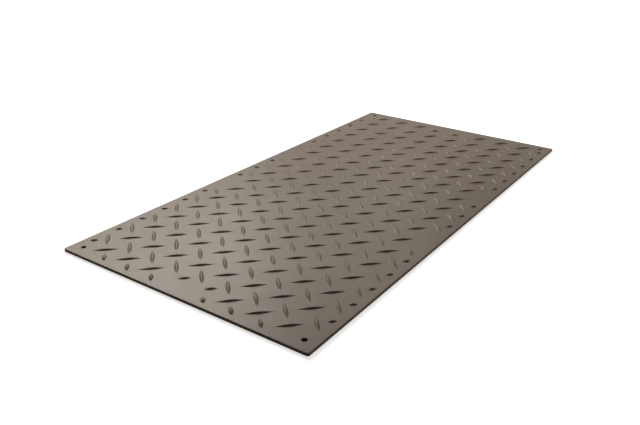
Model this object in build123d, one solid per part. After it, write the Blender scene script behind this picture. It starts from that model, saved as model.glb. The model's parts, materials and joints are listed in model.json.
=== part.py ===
from build123d import *

import os
from math import ceil, cos, radians, sin

# Ground protection mat: one moulded polyethylene board with a raised diamond tread on top.
# Millimetres. X runs along the board, Y across it and Z up. The origin is the middle of the underside.

# Board
board_length = 2440.0
board_width = 1220.0
board_thickness = 12.7
corner_radius = 10.0
edge_break = 1.5

# Linking holes, one near each corner
hole_diameter = 22.0
hole_inset = 56.0

# Tread lugs: pointed bars whose crest falls to both tips faster than their sides close in
lug_length = 116.0
lug_width = 20.0
lug_height = 6.0
crest_width = 4.0
tip_fall = 2.0
lug_spans = 4

# A shortened lug is never shorter than this
least_lug = 32.0

# The lugs lie on two square grids of one pitch, a half pitch apart and turned opposite ways
tread_pitch = 132.5
lug_turn = 45.0

# Bare parts of the top: the rim along the ends and the sides, and patches that reach in from the edges
end_rim = 24.0
side_rim = 28.0
end_patch_depth = 95.0
end_patch_length = 205.0
side_patch_depth = 101.0
side_patch_length = 180.0
side_patch_offset = 292.0
hole_surround = 45.0


def plain_board():
    """The flat board with rounded corners and its sharp rims taken off."""
    board = Box(board_length, board_width, board_thickness, align=(Align.CENTER, Align.CENTER, Align.MIN))
    board = fillet(board.edges().filter_by(Axis.Z), corner_radius)
    rims = board.edges().group_by(Axis.Z)
    return chamfer(rims[0] + rims[-1], edge_break)


def hole_places():
    """The centres of the four linking holes on the underside."""
    across_x = board_length - 2 * hole_inset
    across_y = board_width - 2 * hole_inset
    return GridLocations(across_x, across_y, 2, 2)


def linking_holes():
    """Plugs that cut the holes right through the board."""
    plug = Cylinder(hole_diameter / 2, board_thickness, align=(Align.CENTER, Align.CENTER, Align.MIN))
    return [place * plug for place in hole_places()]


def lug_section(share):
    """The four points of a lug's section, narrower and lower towards the tips."""
    foot = lug_width / 2 * share
    crest = crest_width / 2 * share
    rise = lug_height * share**tip_fall
    return [(-foot, 0), (-crest, rise), (crest, rise), (foot, 0)]


def tread_lug(length):
    """One lug along X, standing on the plane Z = 0."""
    half = length / 2
    points = [(-half, 0, 0), (half, 0, 0)]
    for station in range(1, lug_spans):
        along = 2 * station / lug_spans - 1
        points += [(half * along, y, z) for y, z in lug_section(1 - along**2)]
    return ConvexPolyhedron(points)


def bare_patches():
    """Rectangles by two corners: a patch at each end, two at each side and one round each hole."""
    corner_depth = hole_inset + hole_surround
    patches = []
    for side_x in (-1, 1):
        end = side_x * board_length / 2
        patches.append((end, 0, end_patch_depth, end_patch_length / 2))
        for side_y in (-1, 1):
            side = side_y * board_width / 2
            patches.append((side_x * side_patch_offset, side, side_patch_length / 2, side_patch_depth))
            patches.append((end, side, corner_depth, corner_depth))
    return [((x - dx, y - dy), (x + dx, y + dy)) for x, y, dx, dy in patches]


def stretch_inside(middle, heading, corners):
    """Where a lug's middle line runs inside a rectangle, as its start and end from the lug's middle."""
    start, end = -lug_length / 2, lug_length / 2
    for axis in (0, 1):
        crossings = sorted((corner[axis] - middle[axis]) / heading[axis] for corner in corners)
        start, end = max(start, crossings[0]), min(end, crossings[1])
    return start, end


def free_stretch(middle, heading):
    """The longest stretch that the rim and the bare patches leave of a lug's middle line."""
    inner_x = board_length / 2 - end_rim
    inner_y = board_width / 2 - side_rim
    start, end = stretch_inside(middle, heading, ((-inner_x, -inner_y), (inner_x, inner_y)))
    for patch in bare_patches():
        low, high = stretch_inside(middle, heading, patch)
        low, high = max(low, start), min(high, end)
        if low < high and low - start >= end - high:
            end = low
        elif low < high:
            start = high
    return start, end


def grid_lines(board_side, shift):
    """Places of one grid's lines that can put a lug on the board."""
    last = ceil((board_side + lug_length) / 2 / tread_pitch)
    return [(line + shift) * tread_pitch for line in range(-last, last)]


def lug_grid(turn, shift):
    """One square grid of lugs over the whole board, each as long as the bare parts leave it."""
    heading = (cos(radians(turn)), sin(radians(turn)))
    lugs = []
    for x in grid_lines(board_length, shift):
        for y in grid_lines(board_width, shift):
            start, end = free_stretch((x, y), heading)
            if end - start >= least_lug:
                middle = (start + end) / 2
                place = Pos(x + heading[0] * middle, y + heading[1] * middle, board_thickness)
                lugs.append(place * Rot(0, 0, turn) * tread_lug(end - start))
    return lugs


def ground_mat():
    """The board with its holes, and the tread joined to its top face to face."""
    board = plain_board() - linking_holes()
    tread = lug_grid(-lug_turn, 0.5) + lug_grid(lug_turn, 0)
    return board.fuse(*tread, glue=True)


os.makedirs("parts", exist_ok=True)
export_step(ground_mat(), "parts/ground_mat.step")
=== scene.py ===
import json
import math

import bmesh
import bpy
from mathutils import Matrix, Quaternion, Vector
from mathutils.geometry import delaunay_2d_cdt


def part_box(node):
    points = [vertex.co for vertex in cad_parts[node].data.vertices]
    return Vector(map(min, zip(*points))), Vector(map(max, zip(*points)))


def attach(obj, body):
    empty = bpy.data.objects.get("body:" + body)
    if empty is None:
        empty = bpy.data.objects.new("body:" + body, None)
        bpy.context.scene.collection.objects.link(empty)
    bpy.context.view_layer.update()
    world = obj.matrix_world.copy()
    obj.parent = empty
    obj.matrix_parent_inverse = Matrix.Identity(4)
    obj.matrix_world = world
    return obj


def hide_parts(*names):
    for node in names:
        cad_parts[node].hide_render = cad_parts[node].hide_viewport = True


# A ground protection mat lying flat: one moulded polyethylene board with a raised diamond tread.
# Metres. X runs along the board, Y across it and Z up, with the origin in the middle of the underside.

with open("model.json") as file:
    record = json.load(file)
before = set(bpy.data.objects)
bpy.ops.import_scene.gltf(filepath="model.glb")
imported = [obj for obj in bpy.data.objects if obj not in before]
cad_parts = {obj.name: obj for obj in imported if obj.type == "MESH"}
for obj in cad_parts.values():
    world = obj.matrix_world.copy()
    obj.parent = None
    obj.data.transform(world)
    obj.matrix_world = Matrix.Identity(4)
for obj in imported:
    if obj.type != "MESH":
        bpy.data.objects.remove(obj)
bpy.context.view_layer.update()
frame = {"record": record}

# Linking holes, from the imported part's bores
MM_PER_METRE = 1000
BORES = [mount for mount in frame["record"]["mounts"] if mount["kind"] == "bore"]
HOLE_STEPS = 40
HOLE_LIP = 0.0006

# Board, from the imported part: it is as thick as its holes are long
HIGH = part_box("ground_mat")[1]
HALF_LENGTH = HIGH.x
HALF_WIDTH = HIGH.y
THICKNESS = BORES[0]["dims"]["length_mm"] / MM_PER_METRE
CORNER_RADIUS = 0.010
RIM_ROUND = 0.0015
CORNER_STEPS = 8
ROUND_STEPS = 3

# Tread lugs: pointed bars whose crest falls to both tips faster than their sides close in
LUG_LENGTH = 0.116
LUG_WIDTH = 0.020
LUG_HEIGHT = HIGH.z - THICKNESS
LUG_SPANS = 20
LUG_STRIPS = 12
CREST_FULLNESS = 1.2
TIP_FALL = 2.0

# A shortened lug is never shorter than this
LEAST_LUG = 0.032

# The lugs lie on two square grids of one pitch, a half pitch apart and turned opposite ways
LUG_TURN = math.radians(45)
TREAD_PITCH = 0.1325

# Bare parts of the top: the rim, and patches that reach in from the ends, the sides and the corners
END_RIM = 0.024
SIDE_RIM = 0.028
END_PATCH = (0.095, 0.205)
SIDE_PATCH = (0.180, 0.101)
SIDE_PATCH_OFFSET = 0.292
CORNER_PATCH = (0.101, 0.101)

# The mesh: what counts as one place, how the flat faces are cut and which creases stay sharp
SAME_PLACE = 1e-6
SHEET_TOLERANCE = 1e-7
TRIANGLES_INSIDE = 1
SHARP_CREASE = math.radians(40)

# The trimmed edges and hole walls have the second of the mat's two finishes
EDGE_FINISH = 1

# Polyethylene: dark brown-grey with a soft sheen
DEEP_TONE = (0.114, 0.080, 0.049)
WORN_TONE = (0.156, 0.114, 0.072)
GRAIN_DEPTH = 0.00012
# The lug crests are painted paler towards the top: partly wear, partly a painted highlight
CREST_WEAR_AND_HIGHLIGHT = 0.5
SHEEN_LEVEL = 0.15
FACE_ROUGHNESS = 0.36
EDGE_ROUGHNESS = 0.7
GLOSS_SHIFT = 0.1

# The noises in the finishes: the size of their spots and how finely they are broken up
CLOUDS = (0.35, 4)
MOTTLES = (0.03, 6)
WAVES = (0.03, 2)
GRAIN = (0.0014, 3)
SCUFFS = (0.004, 4)
STREAKS = (0.004, 3)
STREAK_STRETCH = 0.05
NOISE_MIDDLE = 0.5

# From where to where in a noise its spots fade in, and the shares that they go from and to
CLOUD_FADE = (0.3, 0.7, 0, 0.35)
MOTTLE_FADE = (0.35, 0.75, 0, 0.25)
SCUFF_FADE = (0.4, 0.65, 0.2, 1)
STREAK_FADE = (0.4, 0.7, 0, 0.5)

# Studio floor: it shines white by itself, less so near the mat, where its shadow shows, and not under it
WHITE = (1, 1, 1, 1)
FLOOR_HALF_SIDE = 30.0
FLOOR_TONE = (0.80, 0.80, 0.80)
FLOOR_GLOW_FAR = 1.0
FLOOR_GLOW_NEAR = 0.7
SHADOW_REACH = 0.08
MAT_OVERLAP = 0.004

# Soft lamps round the mat: azimuth from X and elevation in degrees, size, and power in watts
LAMP_DISTANCE = 5.0
LAMP_TONE = (1.0, 0.94, 0.86)
STRIP_LAMP = (66, 36, (3.0, 0.9), 130)
BANK_LAMP = (50, 40, (5.0, 2.0), 132)
SIDE_LAMP = (300, 20, (3.0, 2.0), 30)

# Camera, as the photograph's
CAMERA_PLACE = Vector((-2.7087, -1.6575, 1.3378))
CAMERA_AZIMUTH = math.radians(-55.794)
CAMERA_ELEVATION = math.radians(24.573)
CAMERA_ROLL = math.radians(0.942)
CAMERA_LENS = 39.25


def share_at(along):
    """How much of its full width a lug has at a place from -1 at one tip to 1 at the other."""
    return 1 - along**2


def crest_shape(across):
    """Height of a lug's rounded section, from 1 on the crest to 0 where it meets the board flat."""
    return 0.5 + 0.5 * math.cos(math.pi * abs(across) ** CREST_FULLNESS)


def whole_lug():
    """One smooth lug along X on the plane Z = 0, open below."""
    lug = bmesh.new()
    bmesh.ops.create_grid(lug, x_segments=LUG_SPANS, y_segments=LUG_STRIPS, size=1)
    for point in lug.verts:
        along, across = point.co.x, point.co.y
        share = share_at(along)
        height = LUG_HEIGHT * share**TIP_FALL * crest_shape(across)
        point.co = (LUG_LENGTH / 2 * along, LUG_WIDTH / 2 * share * across, height)
    bmesh.ops.remove_doubles(lug, verts=lug.verts, dist=SAME_PLACE)
    return lug


def bare_patches():
    """The plain rectangles that reach in from the edges, each as its lowest and highest corner."""
    patches = []
    for side_x in (-1, 1):
        x = side_x * HALF_LENGTH
        patches.append((x, 0, END_PATCH[0], END_PATCH[1] / 2))
        for side_y in (-1, 1):
            y = side_y * HALF_WIDTH
            patches.append((x, y, *CORNER_PATCH))
            patches.append((side_x * SIDE_PATCH_OFFSET, y, SIDE_PATCH[0] / 2, SIDE_PATCH[1]))
    return [((x - dx, y - dy), (x + dx, y + dy)) for x, y, dx, dy in patches]


def stretch_inside(middle, heading, corners):
    """Where a lug's middle line runs inside a rectangle, as its start and end from the lug's middle."""
    start, end = -LUG_LENGTH / 2, LUG_LENGTH / 2
    for axis in (0, 1):
        crossings = sorted((corner[axis] - middle[axis]) / heading[axis] for corner in corners)
        start, end = max(start, crossings[0]), min(end, crossings[1])
    return start, end


def free_stretch(middle, heading, patches):
    """The longest stretch that the rim and the bare patches leave of a lug's middle line."""
    inner_x, inner_y = HALF_LENGTH - END_RIM, HALF_WIDTH - SIDE_RIM
    start, end = stretch_inside(middle, heading, ((-inner_x, -inner_y), (inner_x, inner_y)))
    for patch in patches:
        low, high = stretch_inside(middle, heading, patch)
        low, high = max(low, start), min(high, end)
        if low < high and low - start >= end - high:
            end = low
        elif low < high:
            start = high
    return start, end


def lug_lines(half_side, shift):
    """Places of one grid's lines that can put a lug on the board."""
    last = math.ceil((half_side + LUG_LENGTH / 2) / TREAD_PITCH)
    return [(line + shift) * TREAD_PITCH for line in range(-last, last)]


def tread_pieces():
    """Every lug of the tread in its place, shorter where an edge or a bare patch leaves less room."""
    lug = whole_lug()
    patches = bare_patches()
    pieces = []
    for turn, shift in ((-LUG_TURN, 0.5), (LUG_TURN, 0)):
        turned = Matrix.Rotation(turn, 4, "Z")
        heading = turned @ Vector((1, 0, 0))
        for x in lug_lines(HALF_LENGTH, shift):
            for y in lug_lines(HALF_WIDTH, shift):
                middle = Vector((x, y, THICKNESS))
                start, end = free_stretch(middle, heading, patches)
                if end - start < LEAST_LUG:
                    continue
                place = Matrix.Translation(middle + heading * (start + end) / 2)
                shortened = Matrix.Scale((end - start) / LUG_LENGTH, 4, (1, 0, 0))
                piece = lug.copy()
                bmesh.ops.transform(piece, matrix=place @ turned @ shortened, verts=piece.verts)
                pieces.append(piece)
    lug.free()
    return pieces


def round_outline(inset, height):
    """The board's outline with its rounded corners, taken in by an inset, at one height."""
    points = []
    radius = CORNER_RADIUS - inset
    for quarter, (side_x, side_y) in enumerate(((1, 1), (-1, 1), (-1, -1), (1, -1))):
        centre_x = side_x * (HALF_LENGTH - CORNER_RADIUS)
        centre_y = side_y * (HALF_WIDTH - CORNER_RADIUS)
        for step in range(CORNER_STEPS + 1):
            angle = math.pi / 2 * (quarter + step / CORNER_STEPS)
            x = centre_x + radius * math.cos(angle)
            y = centre_y + radius * math.sin(angle)
            points.append(Vector((x, y, height)))
    return points


def hole_circle(centre, radius, height):
    """A linking hole's circle at one height."""
    turns = [2 * math.pi * step / HOLE_STEPS for step in range(HOLE_STEPS)]
    return [
        Vector((centre[0] + radius * math.cos(turn), centre[1] + radius * math.sin(turn), height))
        for turn in turns
    ]


def rounded_wall(radius):
    """How far out of the wall and how high each loop of a wall with two rounded rims lies, top first."""
    steps = [math.pi / 2 * step / ROUND_STEPS for step in range(ROUND_STEPS + 1)]
    upper = [(radius * (1 - math.sin(turn)), THICKNESS - radius * (1 - math.cos(turn))) for turn in steps]
    return upper + [(offset, THICKNESS - height) for offset, height in reversed(upper)]


def add_wall(body, loops):
    """Edge faces between loops of as many points, one below the other. Gives the top and bottom loops."""
    rings = [[body.verts.new(point) for point in loop] for loop in loops]
    for upper, lower in zip(rings, rings[1:]):
        for here in range(len(upper)):
            face = body.faces.new((upper[here - 1], upper[here], lower[here], lower[here - 1]))
            face.material_index = EDGE_FINISH
    return rings[0], rings[-1]


def add_sheet(body, outline, openings):
    """A flat face inside an outline, as triangles that leave the openings free."""
    loops = [outline, *openings]
    points = [point for loop in loops for point in loop]
    starts = [sum(len(loop) for loop in loops[:place]) for place in range(len(loops))]
    numbers = [list(range(start, start + len(loop))) for start, loop in zip(starts, loops)]
    flat = [point.co.to_2d() for point in points]
    cut = delaunay_2d_cdt(flat, [], numbers, TRIANGLES_INSIDE, SHEET_TOLERANCE, True)
    _, _, triangles, point_sources, _, loop_sources = cut
    for corners, inside in zip(triangles, loop_sources):
        if inside == [0]:
            body.faces.new([points[point_sources[corner][0]] for corner in corners])


def foot_loop(points):
    """The points of a lug that lie on the board, in order round it."""
    foot = [point for point in points if abs(point.co.z - THICKNESS) < SAME_PLACE]
    middle = sum((point.co for point in foot), Vector()) / len(foot)
    return sorted(foot, key=lambda point: math.atan2(point.co.y - middle.y, point.co.x - middle.x))


def add_lug(body, piece):
    """Copies a lug's faces into the board's mesh and gives the loop of its foot."""
    made = {point.index: body.verts.new(point.co) for point in piece.verts}
    for face in piece.faces:
        body.faces.new([made[point.index] for point in face.verts])
    return foot_loop(list(made.values()))


def board_mesh(body):
    """The board's rim, holes, tread, top and underside as one closed surface."""
    outer = [round_outline(inset, height) for inset, height in rounded_wall(RIM_ROUND)]
    top_rim, bottom_rim = add_wall(body, outer)
    holes = []
    for bore in BORES:
        centre, radius = bore["pos_m"], bore["dims"]["r_mm"] / MM_PER_METRE
        loops = [hole_circle(centre, radius + offset, height) for offset, height in rounded_wall(HOLE_LIP)]
        holes.append(add_wall(body, loops))
    feet = []
    for piece in tread_pieces():
        piece.verts.index_update()
        feet.append(add_lug(body, piece))
        piece.free()
    add_sheet(body, top_rim, [hole[0] for hole in holes] + feet)
    add_sheet(body, bottom_rim, [hole[1] for hole in holes])


def ground_mat():
    """The mat as one object, smooth but for its sharp creases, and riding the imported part's body."""
    body = bmesh.new()
    board_mesh(body)
    bmesh.ops.recalc_face_normals(body, faces=body.faces)
    mesh = bpy.data.meshes.new("mat")
    body.to_mesh(mesh)
    body.free()
    mesh.polygons.foreach_set("use_smooth", [True] * len(mesh.polygons))
    mesh.set_sharp_from_angle(angle=SHARP_CREASE)
    mat = bpy.data.objects.new("mat", mesh)
    bpy.context.scene.collection.objects.link(mat)
    weighting = mat.modifiers.new("flat_faces_lead", "WEIGHTED_NORMAL")
    weighting.keep_sharp = True
    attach(mat, "root")
    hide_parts("ground_mat")
    return mat


def shader_group(name, inputs, outputs):
    """An empty shader node group with named inputs and outputs, and its input and output nodes."""
    group = bpy.data.node_groups.new(name, "ShaderNodeTree")
    for label, kind, value in inputs:
        socket = group.interface.new_socket(label, in_out="INPUT", socket_type=kind)
        socket.default_value = value
    for label, kind in outputs:
        group.interface.new_socket(label, in_out="OUTPUT", socket_type=kind)
    return group, group.nodes.new("NodeGroupInput"), group.nodes.new("NodeGroupOutput")


def noise(tree, place, size, detail):
    """A noise texture with spots of a size, read at a place."""
    texture = tree.nodes.new("ShaderNodeTexNoise")
    texture.inputs["Scale"].default_value = 1 / size
    texture.inputs["Detail"].default_value = detail
    tree.links.new(place, texture.inputs["Vector"])
    return texture.outputs["Fac"]


def ranged(tree, value, low, high, to_low, to_high):
    """A value brought smoothly from one range to another."""
    node = tree.nodes.new("ShaderNodeMapRange")
    node.interpolation_type = "SMOOTHSTEP"
    tree.links.new(value, node.inputs["Value"])
    for label, number in (("From Min", low), ("From Max", high), ("To Min", to_low), ("To Max", to_high)):
        node.inputs[label].default_value = number
    return node.outputs["Result"]


def maths(tree, operation, first, second):
    """One step of arithmetic on sockets or numbers."""
    node = tree.nodes.new("ShaderNodeMath")
    node.operation = operation
    for socket, value in zip(node.inputs, (first, second)):
        if isinstance(value, bpy.types.NodeSocket):
            tree.links.new(value, socket)
        else:
            socket.default_value = value
    return node.outputs["Value"]


def mixed(tree, share, first, second):
    """A colour between two others."""
    node = tree.nodes.new("ShaderNodeMix")
    node.data_type = "RGBA"
    for label, socket in (("Factor", share), ("A", first), ("B", second)):
        tree.links.new(socket, node.inputs[label])
    return node.outputs["Result"]


def cloudy_tone_group():
    """Slow clouds and small mottles between a deep and a worn tone, paler where worn, and on the lug
    crests paler with a painted highlight too.
    """
    group, source, target = shader_group(
        "cloudy_tone",
        [
            ("Place", "NodeSocketVector", (0, 0, 0)),
            ("Deep", "NodeSocketColor", (*DEEP_TONE, 1)),
            ("Worn", "NodeSocketColor", (*WORN_TONE, 1)),
            ("Wear And Highlight", "NodeSocketFloat", 0),
        ],
        [("Color", "NodeSocketColor")],
    )
    clouds = ranged(group, noise(group, source.outputs["Place"], *CLOUDS), *CLOUD_FADE)
    mottles = ranged(group, noise(group, source.outputs["Place"], *MOTTLES), *MOTTLE_FADE)
    share = maths(group, "ADD", maths(group, "ADD", clouds, mottles), source.outputs["Wear And Highlight"])
    color = mixed(group, share, source.outputs["Deep"], source.outputs["Worn"])
    group.links.new(color, target.inputs["Color"])
    return group


def pressed_grain_group():
    """The fine pebbled skin that a heated press leaves, as a height and as a shift of the gloss."""
    group, source, target = shader_group(
        "pressed_grain",
        [("Place", "NodeSocketVector", (0, 0, 0)), ("Gloss Shift", "NodeSocketFloat", GLOSS_SHIFT)],
        [("Height", "NodeSocketFloat"), ("Gloss", "NodeSocketFloat")],
    )
    grain = noise(group, source.outputs["Place"], *GRAIN)
    waves = noise(group, source.outputs["Place"], *WAVES)
    height = maths(group, "ADD", grain, waves)
    group.links.new(height, target.inputs["Height"])
    centred = maths(group, "SUBTRACT", waves, NOISE_MIDDLE)
    gloss = maths(group, "MULTIPLY", centred, source.outputs["Gloss Shift"])
    group.links.new(gloss, target.inputs["Gloss"])
    return group


def placed_group(tree, group, place):
    """A group node in a material, reading the object's own coordinates."""
    node = tree.nodes.new("ShaderNodeGroup")
    node.node_tree = group
    tree.links.new(place, node.inputs["Place"])
    return node


def polyethylene(name, tone, grain, roughness, wear_and_highlight_of):
    """A polyethylene finish: its tone, grain and gloss, paler where a given function puts wear, trimming
    streaks or, on the lug crests, wear with a painted highlight.
    """
    material = bpy.data.materials.new(name)
    material.use_nodes = True
    tree = material.node_tree
    shader = tree.nodes["Principled BSDF"]
    place = tree.nodes.new("ShaderNodeTexCoord").outputs["Object"]
    colour = placed_group(tree, tone, place)
    tree.links.new(wear_and_highlight_of(tree, place), colour.inputs["Wear And Highlight"])
    tree.links.new(colour.outputs["Color"], shader.inputs["Base Color"])
    skin = placed_group(tree, grain, place)
    tree.links.new(maths(tree, "ADD", skin.outputs["Gloss"], roughness), shader.inputs["Roughness"])
    bump = tree.nodes.new("ShaderNodeBump")
    bump.inputs["Distance"].default_value = GRAIN_DEPTH
    tree.links.new(skin.outputs["Height"], bump.inputs["Height"])
    tree.links.new(bump.outputs["Normal"], shader.inputs["Normal"])
    shader.inputs["Specular IOR Level"].default_value = SHEEN_LEVEL
    return material


def crest_wear_and_highlight(tree, place):
    """Wear and a painted highlight, paler from half a lug's height to its crest, broken up by scuffs."""
    split = tree.nodes.new("ShaderNodeSeparateXYZ")
    tree.links.new(place, split.inputs["Vector"])
    half_height, crest = THICKNESS + LUG_HEIGHT / 2, THICKNESS + LUG_HEIGHT
    height = ranged(tree, split.outputs["Z"], half_height, crest, 0, CREST_WEAR_AND_HIGHLIGHT)
    scuffs = ranged(tree, noise(tree, place, *SCUFFS), *SCUFF_FADE)
    return maths(tree, "MULTIPLY", height, scuffs)


def edge_streaks(tree, place):
    """The upright streaks that trimming leaves on the board's edges."""
    stretch = tree.nodes.new("ShaderNodeMapping")
    stretch.inputs["Scale"].default_value = (1, 1, STREAK_STRETCH)
    tree.links.new(place, stretch.inputs["Vector"])
    return ranged(tree, noise(tree, stretch.outputs["Vector"], *STREAKS), *STREAK_FADE)


def finish_mat(mat):
    """The mat's two finishes: its pressed faces, and its trimmed edges and hole walls."""
    tone = cloudy_tone_group()
    grain = pressed_grain_group()
    # The pressed faces get paler lug crests: wear together with a painted highlight
    mat.data.materials.append(polyethylene("pressed_face", tone, grain, FACE_ROUGHNESS, crest_wear_and_highlight))
    mat.data.materials.append(polyethylene("trimmed_edge", tone, grain, EDGE_ROUGHNESS, edge_streaks))


def ray_share(tree):
    """1 for what is seen directly, in reflections or through glass, and 0 for diffuse light."""
    rays = tree.nodes.new("ShaderNodeLightPath").outputs
    seen = maths(tree, "MAXIMUM", rays["Is Camera Ray"], rays["Is Glossy Ray"])
    return maths(tree, "MAXIMUM", seen, rays["Is Transmission Ray"])


def room():
    """A room that is white to the camera and in reflections, and adds nothing to the diffuse light."""
    world = bpy.data.worlds.new("room")
    bpy.context.scene.world = world
    world.use_nodes = True
    tree = world.node_tree
    backdrop = tree.nodes["Background"]
    backdrop.inputs["Color"].default_value = WHITE
    tree.links.new(ray_share(tree), backdrop.inputs["Strength"])


def floor_glow(tree):
    """How much the floor shines by itself: not under the mat, less by its edges, and fully further out."""
    split = tree.nodes.new("ShaderNodeSeparateXYZ")
    tree.links.new(tree.nodes.new("ShaderNodeTexCoord").outputs["Object"], split.inputs["Vector"])
    sides = []
    for axis, half_side in (("X", HALF_LENGTH), ("Y", HALF_WIDTH)):
        sides.append(maths(tree, "SUBTRACT", maths(tree, "ABSOLUTE", split.outputs[axis], 0), half_side))
    outward = maths(tree, "MAXIMUM", *sides)
    glow = ranged(tree, outward, 0, SHADOW_REACH, FLOOR_GLOW_NEAR, FLOOR_GLOW_FAR)
    return maths(tree, "MULTIPLY", glow, maths(tree, "GREATER_THAN", outward, -MAT_OVERLAP))


def white_floor():
    """A wide white floor that keeps the mat's shadow."""
    side = FLOOR_HALF_SIDE
    corners = [(-side, -side, 0), (side, -side, 0), (side, side, 0), (-side, side, 0)]
    mesh = bpy.data.meshes.new("floor")
    mesh.from_pydata(corners, [], [(0, 1, 2, 3)])
    floor = bpy.data.objects.new("floor", mesh)
    bpy.context.scene.collection.objects.link(floor)
    material = bpy.data.materials.new("floor_paint")
    material.use_nodes = True
    tree = material.node_tree
    shader = tree.nodes["Principled BSDF"]
    shader.inputs["Base Color"].default_value = (*FLOOR_TONE, 1)
    shader.inputs["Roughness"].default_value = 1
    shader.inputs["Specular IOR Level"].default_value = 0
    shader.inputs["Emission Color"].default_value = WHITE
    glow = maths(tree, "MULTIPLY", ray_share(tree), floor_glow(tree))
    tree.links.new(glow, shader.inputs["Emission Strength"])
    mesh.materials.append(material)


def softbox(name, azimuth, elevation, size, power):
    """A soft rectangular lamp that faces the middle of the mat."""
    lamp = bpy.data.lights.new(name, "AREA")
    lamp.shape = "RECTANGLE"
    lamp.size, lamp.size_y = size
    lamp.energy = power
    lamp.color = LAMP_TONE
    turn, rise = math.radians(azimuth), math.radians(elevation)
    outward = Vector((math.cos(turn) * math.cos(rise), math.sin(turn) * math.cos(rise), math.sin(rise)))
    holder = bpy.data.objects.new(name, lamp)
    holder.location = outward * LAMP_DISTANCE
    holder.rotation_euler = outward.to_track_quat("Z", "Y").to_euler()
    holder.visible_camera = False
    bpy.context.scene.collection.objects.link(holder)


def photo_camera():
    """The camera at the photograph's viewpoint, turned by its azimuth, elevation and roll."""
    flat = math.cos(CAMERA_ELEVATION)
    back = Vector(
        (math.sin(CAMERA_AZIMUTH) * flat, -math.cos(CAMERA_AZIMUTH) * flat, math.sin(CAMERA_ELEVATION))
    )
    camera = bpy.data.objects.new("camera", bpy.data.cameras.new("camera"))
    camera.data.lens = CAMERA_LENS
    camera.location = CAMERA_PLACE
    camera.rotation_mode = "QUATERNION"
    camera.rotation_quaternion = (-back).to_track_quat("-Z", "Y") @ Quaternion((0, 0, 1), CAMERA_ROLL)
    bpy.context.scene.collection.objects.link(camera)
    bpy.context.scene.camera = camera


mat = ground_mat()
finish_mat(mat)
photo_camera()
room()
white_floor()
softbox("strip_lamp", *STRIP_LAMP)
softbox("bank_lamp", *BANK_LAMP)
softbox("side_lamp", *SIDE_LAMP)

bpy.context.scene.view_settings.view_transform = "Standard"
